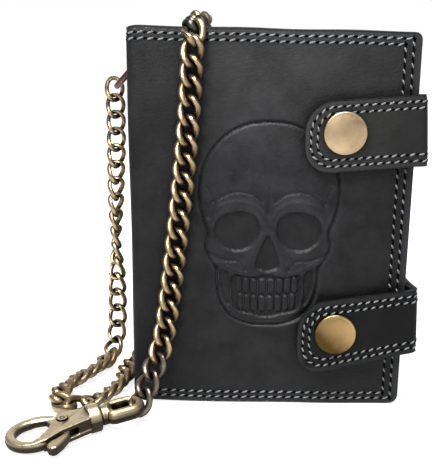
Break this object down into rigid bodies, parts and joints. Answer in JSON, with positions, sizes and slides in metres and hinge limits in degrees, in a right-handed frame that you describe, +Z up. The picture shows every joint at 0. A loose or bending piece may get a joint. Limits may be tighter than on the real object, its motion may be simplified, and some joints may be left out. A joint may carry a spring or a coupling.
{
  "type": "chain wallet",
  "caption": "Long bifold leather wallet with two snap straps, inner pockets, and a curb chain from a side ring to a trigger hook.",
  "frame": {"origin": "on the ground under the middle of the closed wallet", "axes": "+Z up along the standing wallet's height, -Y out of the front cover, +X from the spine to the fore-edge"},
  "size_m": [0.1466, 0.099, 0.1506],
  "materials": {
    "outer_leather": "black pebbled cowhide, semi-matt",
    "strap_leather": "smooth black leather, satin",
    "lining_leather": "thin smooth black leather",
    "pocket_leather": "thin black leather, satin",
    "clear_film": "clear flexible film",
    "cap_brass": "antique brass, satin",
    "snap_steel": "plated steel",
    "chain_metal": "aged pale brass plating",
    "ring_metal": "dark antique brass",
    "hook_metal": "cast, antique brass plating",
    "pin_steel": "plated steel rivet",
    "spring_steel": "spring steel"
  },
  "bodies": {
    "back_half": {"back_cover": "outer_leather", "back_lining": "lining_leather", "back_note_pocket": "pocket_leather", "slip_pocket": "pocket_leather", "chain_tab": "outer_leather", "tab_eyelet": "snap_steel", "upper_strap_wrap": "strap_leather", "upper_strap_wrap_lining": "lining_leather", "lower_strap_wrap": "strap_leather", "lower_strap_wrap_lining": "lining_leather", "chain_hanging_run": "chain_metal", "chain_floor_loop": "chain_metal", "chain_back_run": "chain_metal"},
    "spine": {"spine_leather": "outer_leather", "spine_lining": "lining_leather", "window_leaf": "pocket_leather", "window_films": "clear_film"},
    "front_half": {"front_cover": "outer_leather", "front_lining": "lining_leather", "front_note_pocket": "pocket_leather", "card_slot_1": "pocket_leather", "card_slot_2": "pocket_leather", "card_slot_3": "pocket_leather", "card_slot_4": "pocket_leather", "upper_snap_stud": "snap_steel", "upper_snap_rivet": "snap_steel", "lower_snap_stud": "snap_steel", "lower_snap_rivet": "snap_steel", "chain_drape": "chain_metal"},
    "upper_strap": {"upper_strap_tongue": "strap_leather", "upper_strap_tongue_lining": "lining_leather", "upper_snap_cap": "cap_brass", "upper_snap_socket": "snap_steel"},
    "lower_strap": {"lower_strap_tongue": "strap_leather", "lower_strap_tongue_lining": "lining_leather", "lower_snap_cap": "cap_brass", "lower_snap_socket": "snap_steel"},
    "ring": {"tab_ring": "ring_metal"},
    "bail": {"swivel_bail": "hook_metal"},
    "hook": {"hook_body": "hook_metal", "gate_pin": "pin_steel", "gate_spring": "spring_steel"},
    "gate_lever": {"gate": "hook_metal"}
  },
  "joints": [
    {"name": "spine_fold", "type": "hinge", "parent": "back_half", "child": "spine", "pos_m": [-0.0505, 0.0135, 0.07], "axis": [0, 0, -1], "range_deg": [0, 90], "deforming": ["chain_hanging_run", "chain_floor_loop", "chain_back_run", "chain_drape"]},
    {"name": "cover_fold", "type": "hinge", "parent": "spine", "child": "front_half", "pos_m": [-0.0505, -0.0135, 0.07], "axis": [0, 0, -1], "range_deg": [0, 90], "deforming": ["chain_hanging_run", "chain_floor_loop", "chain_back_run", "chain_drape"]},
    {"name": "upper_strap_open", "type": "hinge", "parent": "back_half", "child": "upper_strap", "pos_m": [0.0539, -0.0181, 0.102], "axis": [0, 0, 1], "range_deg": [0, 150]},
    {"name": "lower_strap_open", "type": "hinge", "parent": "back_half", "child": "lower_strap", "pos_m": [0.055, -0.0181, 0.0265], "axis": [0, 0, 1], "range_deg": [0, 150]},
    {"name": "ring_swing", "type": "hinge", "parent": "back_half", "child": "ring", "pos_m": [-0.04876, 0.01879, 0.127], "axis": [0.4642, 0.6887, 0.5569], "range_deg": [-20, 20], "deforming": ["chain_hanging_run"]},
    {"name": "bail_tilt", "type": "hinge", "parent": "front_half", "child": "bail", "pos_m": [-0.04442, -0.02952, 0.00709], "axis": [-0.4163, 0.9092, 0], "range_deg": [0, 60], "deforming": ["chain_drape"]},
    {"name": "hook_swivel", "type": "hinge", "parent": "bail", "child": "hook", "pos_m": [-0.06025, -0.03677, 0.00528], "axis": [0.9043, 0.414, 0.1036], "continuous": true},
    {"name": "gate_swing", "type": "hinge", "parent": "hook", "child": "gate_lever", "pos_m": [-0.07221, -0.0417, 0.00394], "axis": [-0.0942, -0.0431, 0.9946], "range_deg": [0, 25], "stiffness_Nm_per_rad": 0.01, "springref_deg": -17.19, "deforming": ["gate_spring"]}
  ],
  "couplings": [
    {"joint": "cover_fold", "follows": "spine_fold", "ratio": 1}
  ]
}
